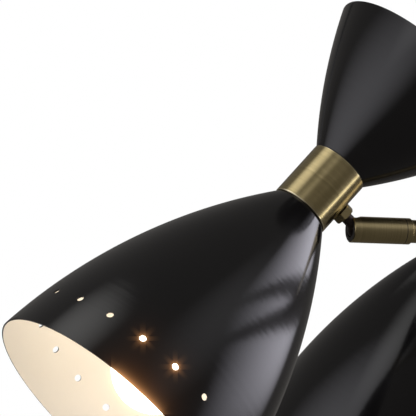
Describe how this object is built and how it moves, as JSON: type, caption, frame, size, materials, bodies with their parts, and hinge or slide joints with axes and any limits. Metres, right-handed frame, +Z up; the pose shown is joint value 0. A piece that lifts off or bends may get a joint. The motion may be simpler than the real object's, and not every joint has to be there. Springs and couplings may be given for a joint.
{
  "type": "pendant light",
  "caption": "Branched pendant light: arms with ball swivels carry double-cone heads with perforated bell shades, hung on a rigid stem from a ceiling canopy.",
  "frame": {"origin": "middle of the ceiling plane, between the two screw holes of the ceiling bracket, on the stem's axis", "axes": "+Z up to the ceiling, -Y towards the front arm, X along the bracket's two screw holes"},
  "size_m": [1.1183, 1.0767, 0.6953],
  "materials": {
    "shade_paint": "satin black paint outside, cream paint inside, on spun aluminium",
    "antique_brass": "brushed, darkened and lacquered",
    "dark_bronze": "blackened",
    "zinc_steel": "zinc plated",
    "holder_plastic": "moulded, matt",
    "opal_glass": "opal",
    "terminal_plastic": "moulded"
  },
  "bodies": {
    "root": {"arm_nuts": "zinc_steel", "hub_body": "antique_brass", "hub_lid": "antique_brass", "hub_finial": "antique_brass", "stem": "antique_brass", "stem_nuts": "zinc_steel", "canopy": "antique_brass", "canopy_ring": "antique_brass", "ceiling_bracket": "zinc_steel", "terminal_block": "terminal_plastic", "arm_tube_1": "antique_brass", "arm_tube_2": "antique_brass", "arm_tube_3": "antique_brass", "arm_tube_4": "antique_brass", "arm_tube_5": "antique_brass"},
    "sleeve_1": {"swivel_sleeve_1": "antique_brass"},
    "stud_1": {"ball_stud_1": "dark_bronze"},
    "head_1": {"upper_shade_1": "shade_paint", "lower_shade_1": "shade_paint", "collar_1": "antique_brass", "clamp_rod_1": "zinc_steel", "lamp_holder_1": "holder_plastic", "bulb_1": "opal_glass", "stud_nuts_1": "antique_brass"},
    "sleeve_2": {"swivel_sleeve_2": "antique_brass"},
    "stud_2": {"ball_stud_2": "dark_bronze"},
    "head_2": {"upper_shade_2": "shade_paint", "lower_shade_2": "shade_paint", "collar_2": "antique_brass", "clamp_rod_2": "zinc_steel", "lamp_holder_2": "holder_plastic", "bulb_2": "opal_glass", "stud_nuts_2": "antique_brass"},
    "sleeve_3": {"swivel_sleeve_3": "antique_brass"},
    "stud_3": {"ball_stud_3": "dark_bronze"},
    "head_3": {"upper_shade_3": "shade_paint", "lower_shade_3": "shade_paint", "collar_3": "antique_brass", "clamp_rod_3": "zinc_steel", "lamp_holder_3": "holder_plastic", "bulb_3": "opal_glass", "stud_nuts_3": "antique_brass"},
    "sleeve_4": {"swivel_sleeve_4": "antique_brass"},
    "stud_4": {"ball_stud_4": "dark_bronze"},
    "head_4": {"upper_shade_4": "shade_paint", "lower_shade_4": "shade_paint", "collar_4": "antique_brass", "clamp_rod_4": "zinc_steel", "lamp_holder_4": "holder_plastic", "bulb_4": "opal_glass", "stud_nuts_4": "antique_brass"},
    "sleeve_5": {"swivel_sleeve_5": "antique_brass"},
    "stud_5": {"ball_stud_5": "dark_bronze"},
    "head_5": {"upper_shade_5": "shade_paint", "lower_shade_5": "shade_paint", "collar_5": "antique_brass", "clamp_rod_5": "zinc_steel", "lamp_holder_5": "holder_plastic", "bulb_5": "opal_glass", "stud_nuts_5": "antique_brass"}
  },
  "joints": [
    {"name": "sleeve_turn_1", "type": "hinge", "parent": "root", "child": "sleeve_1", "pos_m": [0, -0.343, -0.48], "axis": [0, -1, 0], "range_deg": [-45, 45]},
    {"name": "head_tilt_1", "type": "hinge", "parent": "sleeve_1", "child": "stud_1", "pos_m": [0, -0.343, -0.48], "axis": [-1, 0, 0], "range_deg": [-38, 27]},
    {"name": "head_turn_1", "type": "hinge", "parent": "stud_1", "child": "head_1", "pos_m": [0, -0.343, -0.48], "axis": [0, -0.788, 0.6157], "range_deg": [-60, 60]},
    {"name": "sleeve_turn_2", "type": "hinge", "parent": "root", "child": "sleeve_2", "pos_m": [-0.32621, -0.10599, -0.48], "axis": [-0.9511, -0.309, 0], "range_deg": [-45, 45]},
    {"name": "head_tilt_2", "type": "hinge", "parent": "sleeve_2", "child": "stud_2", "pos_m": [-0.32621, -0.10599, -0.48], "axis": [-0.309, 0.9511, 0], "range_deg": [-43.2, 21.8]},
    {"name": "head_turn_2", "type": "hinge", "parent": "stud_2", "child": "head_2", "pos_m": [-0.32621, -0.10599, -0.48], "axis": [-0.6933, -0.2253, 0.6845], "range_deg": [-60, 60]},
    {"name": "sleeve_turn_3", "type": "hinge", "parent": "root", "child": "sleeve_3", "pos_m": [-0.20161, 0.27749, -0.48], "axis": [-0.5878, 0.809, 0], "range_deg": [-45, 45]},
    {"name": "head_tilt_3", "type": "hinge", "parent": "sleeve_3", "child": "stud_3", "pos_m": [-0.20161, 0.27749, -0.48], "axis": [0.809, 0.5878, 0], "range_deg": [-30.5, 34.5]},
    {"name": "head_turn_3", "type": "hinge", "parent": "stud_3", "child": "head_3", "pos_m": [-0.20161, 0.27749, -0.48], "axis": [-0.5065, 0.6971, 0.5075], "range_deg": [-60, 60]},
    {"name": "sleeve_turn_4", "type": "hinge", "parent": "root", "child": "sleeve_4", "pos_m": [0.20161, 0.27749, -0.48], "axis": [0.5878, 0.809, 0], "range_deg": [-45, 45]},
    {"name": "head_tilt_4", "type": "hinge", "parent": "sleeve_4", "child": "stud_4", "pos_m": [0.20161, 0.27749, -0.48], "axis": [0.809, -0.5878, 0], "range_deg": [-40, 25]},
    {"name": "head_turn_4", "type": "hinge", "parent": "stud_4", "child": "head_4", "pos_m": [0.20161, 0.27749, -0.48], "axis": [0.4503, 0.6197, 0.6428], "range_deg": [-60, 60]},
    {"name": "sleeve_turn_5", "type": "hinge", "parent": "root", "child": "sleeve_5", "pos_m": [0.32621, -0.10599, -0.48], "axis": [0.9511, -0.309, 0], "range_deg": [-45, 45]},
    {"name": "head_tilt_5", "type": "hinge", "parent": "sleeve_5", "child": "stud_5", "pos_m": [0.32621, -0.10599, -0.48], "axis": [-0.309, -0.9511, 0], "range_deg": [-34, 31]},
    {"name": "head_turn_5", "type": "hinge", "parent": "stud_5", "child": "head_5", "pos_m": [0.32621, -0.10599, -0.48], "axis": [0.7885, -0.2562, 0.5592], "range_deg": [-60, 60]}
  ]
}
